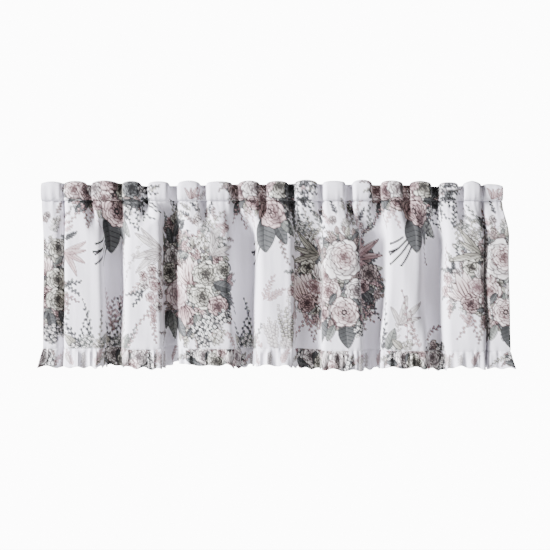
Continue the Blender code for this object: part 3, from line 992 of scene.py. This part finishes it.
def weave_group():
    """Height of a plain weave over the flat cloth, and a soft unevenness of its colour."""
    name = "valance weave"
    if name in bpy.data.node_groups:
        return bpy.data.node_groups[name]
    results = {"Height": "Float", "Tone": "Float"}
    group, given, result = group_of(name, "ShaderNodeTree", {"Thread": "Float"}, results)
    flat = node_of(group, "ShaderNodeUVMap", (-900, 200), uv_map="flat cloth").outputs["UV"]
    apart = node_of(group, "ShaderNodeSeparateXYZ", (-700, 200), {"Vector": flat})
    waves = []
    for k, axis in enumerate("XY"):
        level = 200 - 200 * k
        count = math_of(group, (-500, level), "DIVIDE", apart.outputs[axis], given["Thread"])
        turned = math_of(group, (-330, level), "MULTIPLY", count, math.pi)
        waves.append(math_of(group, (-160, level), "SINE", turned))
    drawn = {"Vector": flat, "Scale": SLUB_SCALE}
    drawn = node_of(group, "ShaderNodeMapping", (-500, -250), drawn).outputs["Vector"]
    slubs = {"Vector": drawn, "Scale": 1, "Detail": 3}
    slubs = node_of(group, "ShaderNodeTexNoise", (-160, -250), slubs).outputs["Fac"]
    feed(result, {"Height": math_of(group, (20, 100), "MULTIPLY", *waves), "Tone": slubs})
    return group


def cloth_material(settings):
    """Printed cotton: the painted print, paler on the back, with a fine weave."""
    name = "printed cotton"
    if name in bpy.data.materials:
        return bpy.data.materials[name]
    material, shader = new_material(name)
    tree = material.node_tree
    paint = node_of(tree, "ShaderNodeAttribute", (-900, 300), attribute_name="print")
    thread = {"Thread": settings.thread}
    weave = node_of(tree, "ShaderNodeGroup", (-900, -100), thread, node_tree=weave_group())
    slubs = {
        "Value": weave.outputs["Tone"],
        "From Min": 0.3,
        "From Max": 0.7,
        "To Min": DARKEST_SLUB,
        "To Max": LIGHTEST_SLUB,
    }
    slubs = node_of(tree, "ShaderNodeMapRange", (-650, -50), slubs).outputs["Result"]

    def mix(at, factor, first, second, blend_type="MIX"):
        given = {"Factor": factor, "A": first, "B": second}
        kinds = {"data_type": "RGBA", "blend_type": blend_type}
        return node_of(tree, "ShaderNodeMix", at, given, **kinds).outputs["Result"]

    face = mix((-420, 250), 1, paint.outputs["Color"], slubs, blend_type="MULTIPLY")
    behind = mix((-420, 0), settings.back_fading, face, (*linear(np.array(GROUND)), 1))
    side = node_of(tree, "ShaderNodeNewGeometry", (-420, 480)).outputs["Backfacing"]
    bump = {"Height": weave.outputs["Height"], "Strength": 0.25, "Distance": WEAVE_DEPTH}
    bump = node_of(tree, "ShaderNodeBump", (-200, -150), bump)
    looks = {
        "Base Color": mix((-200, 250), side, face, behind),
        "Normal": bump.outputs["Normal"],
        "Roughness": settings.roughness,
        "Specular IOR Level": 0.25,
        "Sheen Weight": 0.12,
    }
    feed(shader, looks)
    return material


# Stitches: rows of short threads made by Geometry Nodes along a line
STITCH = (0.0026, 0.0036, 0.00028)  # length, pitch and thickness
STITCH_SIDES = 6
THREAD_COLOUR = (0.66, 0.65, 0.68)
THREAD_ROUGHNESS = 0.75
STITCH_LIFT = 0.0003  # how far the thread stands out from the cloth
POCKET_STITCH_RISE = 0.0012  # how far above the edge of the cloth the rows run
RUFFLE_STITCH_RISE = 0.0010


def stitch_tree():
    """A short thread laid along a line again and again."""
    name = "row of stitches"
    if name in bpy.data.node_groups:
        return bpy.data.node_groups[name]
    inputs = {"Geometry": "Geometry", "Length": "Float", "Pitch": "Float"}
    inputs.update({"Thickness": "Float", "Material": "Material"})
    outputs = {"Geometry": "Geometry"}
    tree, given, result = group_of(name, "GeometryNodeTree", inputs, outputs)

    def step(kind, at, output, inputs, **values):
        return node_of(tree, kind, at, inputs, **values).outputs[output]

    line = step("GeometryNodeMeshToCurve", (-700, 200), "Curve", {"Mesh": given["Geometry"]})
    spaced = {"Curve": line, "Length": given["Pitch"]}
    spaced = step("GeometryNodeResampleCurve", (-500, 200), "Curve", spaced, mode="LENGTH")
    thread = {"Vertices": STITCH_SIDES, "Radius": given["Thickness"], "Depth": given["Length"]}
    thread = step(
        "GeometryNodeMeshCylinder", (-500, -100), "Mesh", thread, fill_type="TRIANGLE_FAN"
    )
    way = step("GeometryNodeInputTangent", (-500, -400), "Tangent", {})
    turned = {"Vector": way}
    turned = step("FunctionNodeAlignEulerToVector", (-300, -300), "Rotation", turned, axis="Z")
    laid = {"Points": spaced, "Instance": thread, "Rotation": turned}
    laid = step("GeometryNodeInstanceOnPoints", (0, 100), "Instances", laid)
    real = step("GeometryNodeRealizeInstances", (250, 100), "Geometry", {"Geometry": laid})
    real = {"Geometry": real, "Material": given["Material"]}
    feed(result, {"Geometry": step("GeometryNodeSetMaterial", (500, 100), "Geometry", real)})
    return tree


def stitch_row(name, points):
    """A row of stitches along these points, as a plain mesh."""
    line = bpy.data.meshes.new(name + " line")
    edges = [(k, k + 1) for k in range(len(points) - 1)]
    line.from_pydata([tuple(p) for p in points], edges, [])
    rail = bpy.data.objects.new(name + " line", line)
    bpy.context.scene.collection.objects.link(rail)
    tree = stitch_tree()
    nodes = rail.modifiers.new("stitches", "NODES")
    nodes.node_group = tree
    wanted = dict(zip(("Length", "Pitch", "Thickness"), STITCH))
    wanted["Material"] = plain_material("sewing thread", THREAD_COLOUR, THREAD_ROUGHNESS)
    for item in tree.interface.items_tree:
        if item.item_type == "SOCKET" and item.in_out == "INPUT" and item.name in wanted:
            nodes[item.identifier] = wanted[item.name]
    bpy.context.view_layer.update()
    shown = rail.evaluated_get(bpy.context.evaluated_depsgraph_get())
    mesh = bpy.data.meshes.new_from_object(shown)
    mesh.name = name
    rail.modifiers.remove(nodes)
    bpy.data.objects.remove(rail)
    if not mesh.polygons:
        raise RuntimeError(f"no stitches were made for {name}")
    obj = bpy.data.objects.new(name, mesh)
    bpy.context.scene.collection.objects.link(obj)
    return obj


class ValanceCloth(bpy.types.PropertyGroup):
    """Sizes and looks of the cloth"""

    thread: bpy.props.FloatProperty(
        name="Thread", description="Spacing of the weave", default=0.0005, subtype="DISTANCE"
    )
    roughness: bpy.props.FloatProperty(
        name="Roughness", description="How matte the cloth is", default=0.9, subtype="FACTOR"
    )
    back_fading: bpy.props.FloatProperty(
        name="Back fading",
        description="How much paler the print is on the back of the cloth",
        default=0.6,
        subtype="FACTOR",
    )


class ValanceStage(bpy.types.PropertyGroup):
    """Camera, lights and floor"""

    distance: bpy.props.FloatProperty(
        name="Camera distance", description="From the cloth", default=2.6, unit="LENGTH"
    )
    view_width: bpy.props.FloatProperty(
        name="View width", description="Width seen at the cloth", default=1.2705, unit="LENGTH"
    )
    middle_x: bpy.props.FloatProperty(
        name="Middle across", description="Where the camera looks", default=0.0023, unit="LENGTH"
    )
    middle_z: bpy.props.FloatProperty(
        name="Middle up", description="Where the camera looks", default=-0.1957, unit="LENGTH"
    )
    key_power: bpy.props.FloatProperty(
        name="Key light", description="Power of the light on the left", default=5600, unit="POWER"
    )
    fill_power: bpy.props.FloatProperty(
        name="Fill light", description="Power of the light from the right", default=12, unit="POWER"
    )
    surroundings: bpy.props.FloatProperty(
        name="Surroundings", description="Light from all round", default=0.075
    )
    backdrop: bpy.props.FloatProperty(
        name="Backdrop", description="Brightness behind the cloth", default=12.0
    )


def dress(obj, node):
    """Hides the part of the frame that the piece stands for, and hangs the piece from the root
    body.
    """
    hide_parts(node)
    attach(obj, "root")


class VALANCE_OT_panel(bpy.types.Operator):
    """Make the folded panel"""

    bl_idname = "valance.panel"
    bl_label = "Panel"

    def execute(self, context):
        settings = context.scene.valance_cloth
        grid, u, z = panel_grid()
        colours = printed(PRINT_BOX, PLACES).read(u * MM, z * MM)
        panel = cloth_piece("panel_cloth", grid, u, z, colours, cloth_material(settings))
        dress(panel, "panel")
        return {"FINISHED"}


class VALANCE_OT_pocket(bpy.types.Operator):
    """Make the gathered rod pocket and the stitches under it"""

    bl_idname = "valance.pocket"
    bl_label = "Rod pocket"

    def execute(self, context):
        settings = context.scene.valance_cloth
        grid, u, v = pocket_grid()
        colours = printed(PRINT_BOX, PLACES).read(u * MM, v * MM)
        pocket = cloth_piece("pocket_cloth", grid, u, v, colours, cloth_material(settings))
        seam = grid[-1][::2] + np.array((0, -STITCH_LIFT, POCKET_STITCH_RISE))
        row = stitch_row("pocket_stitches", seam)
        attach(row, "root")
        dress(pocket, "rod_pocket")
        return {"FINISHED"}


class VALANCE_OT_ruffle(bpy.types.Operator):
    """Make the ruffle and the stitches of its seam"""

    bl_idname = "valance.ruffle"
    bl_label = "Ruffle"

    def execute(self, context):
        settings = context.scene.valance_cloth
        grid, u, v = ruffle_grid()
        colours = printed(RUFFLE_BOX, RUFFLE_PLACES).read(u * RUFFLE_PRINT, v * MM)
        u = u * RUFFLE_FULLNESS
        ruffle = cloth_piece("ruffle_cloth", grid, u, v, colours, cloth_material(settings))
        seam = grid[0][::2] + np.array((0, -STITCH_LIFT, RUFFLE_STITCH_RISE))
        row = stitch_row("ruffle_stitches", seam)
        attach(row, "root")
        dress(ruffle, "ruffle")
        return {"FINISHED"}


Lamp = namedtuple("Lamp", "name colour size place")
KEY_LIGHT = Lamp("key light", (0.955, 0.950, 1.0), (2.1, 2.9), (-7.5, -3.7, 2.2))
FILL_LIGHT = Lamp("fill light", (1, 1, 1), (1.8, 1.8), (1.4, -2.6, 0.6))
ROOM_COLOUR = (1, 0.94, 0.85, 1)
FLOOR_REACH, FLOOR_LEVEL = 1.9, -1.3
SENSOR_WIDTH = 36


def area_light(lamp, power, target):
    data = bpy.data.lights.new(lamp.name, "AREA")
    data.shape = "RECTANGLE"
    data.energy = power
    data.color = lamp.colour
    data.size, data.size_y = lamp.size
    light = bpy.data.objects.new(lamp.name, data)
    light.location = lamp.place
    way = Vector(target) - Vector(lamp.place)
    light.rotation_euler = way.to_track_quat("-Z", "Y").to_euler()
    bpy.context.scene.collection.objects.link(light)


def room_light(strength, backdrop):
    """Even light from all round, with a white backdrop where the camera looks past the cloth."""
    world = bpy.data.worlds.new("soft room")
    world.use_nodes = True
    tree = world.node_tree
    light = tree.nodes["Background"]
    feed(light, {"Color": ROOM_COLOUR, "Strength": strength})
    white = {"Color": (1, 1, 1, 1), "Strength": backdrop}
    white = node_of(tree, "ShaderNodeBackground", (-100, -200), white).outputs["Background"]
    rays = node_of(tree, "ShaderNodeLightPath", (-100, 400)).outputs["Is Camera Ray"]
    both = {"Fac": rays, 1: light.outputs["Background"], 2: white}
    both = node_of(tree, "ShaderNodeMixShader", (150, 100), both)
    feed(tree.nodes["World Output"], {"Surface": both.outputs["Shader"]})
    return world


class VALANCE_OT_stage(bpy.types.Operator):
    """Make the floor, the lights and the camera"""

    bl_idname = "valance.stage"
    bl_label = "Stage"

    def execute(self, context):
        settings = context.scene.valance_stage
        floor = bpy.data.meshes.new("floor")
        corners = [(-1, -1), (1, -1), (1, 1), (-1, 1)]
        corners = [(x * FLOOR_REACH, y * FLOOR_REACH, FLOOR_LEVEL) for x, y in corners]
        floor.from_pydata(corners, [], [(0, 1, 2, 3)])
        floor.materials.append(plain_material("pale floor", (0.9, 0.9, 0.9), 0.9))
        ground = bpy.data.objects.new("floor", floor)
        context.scene.collection.objects.link(ground)
        target = (settings.middle_x, 0, settings.middle_z)
        area_light(KEY_LIGHT, settings.key_power, target)
        area_light(FILL_LIGHT, settings.fill_power, target)
        context.scene.world = room_light(settings.surroundings, settings.backdrop)
        data = bpy.data.cameras.new("camera")
        data.sensor_width = SENSOR_WIDTH
        data.lens = SENSOR_WIDTH * settings.distance / settings.view_width
        camera = bpy.data.objects.new("camera", data)
        camera.location = (settings.middle_x, -settings.distance - PANEL_FACE, settings.middle_z)
        camera.rotation_euler = (math.pi / 2, 0, 0)
        context.scene.collection.objects.link(camera)
        context.scene.camera = camera
        return {"FINISHED"}


OPERATORS = (VALANCE_OT_pocket, VALANCE_OT_panel, VALANCE_OT_ruffle, VALANCE_OT_stage)


class VALANCE_PT_sidebar(bpy.types.Panel):
    """The valance's pieces and sizes in the sidebar"""

    bl_idname = "VALANCE_PT_sidebar"
    bl_label = "Window valance"
    bl_space_type = "VIEW_3D"
    bl_region_type = "UI"
    bl_category = "Valance"

    def draw(self, context):
        for settings in (context.scene.valance_cloth, context.scene.valance_stage):
            box = self.layout.box()
            for name in settings.bl_rna.properties.keys():
                if name not in ("rna_type", "name"):
                    box.prop(settings, name)
        for operator in OPERATORS:
            self.layout.operator(operator.bl_idname)


CLASSES = (ValanceCloth, ValanceStage, *OPERATORS, VALANCE_PT_sidebar)


def register():
    for cls in CLASSES:
        bpy.utils.register_class(cls)
    bpy.types.Scene.valance_cloth = bpy.props.PointerProperty(type=ValanceCloth)
    bpy.types.Scene.valance_stage = bpy.props.PointerProperty(type=ValanceStage)


def unregister():
    del bpy.types.Scene.valance_stage
    del bpy.types.Scene.valance_cloth
    for cls in reversed(CLASSES):
        bpy.utils.unregister_class(cls)


def main():
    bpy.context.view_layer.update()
    register()
    bpy.ops.valance.pocket()
    bpy.ops.valance.panel()
    bpy.ops.valance.ruffle()
    bpy.ops.valance.stage()


if __name__ == "__main__":
    main()
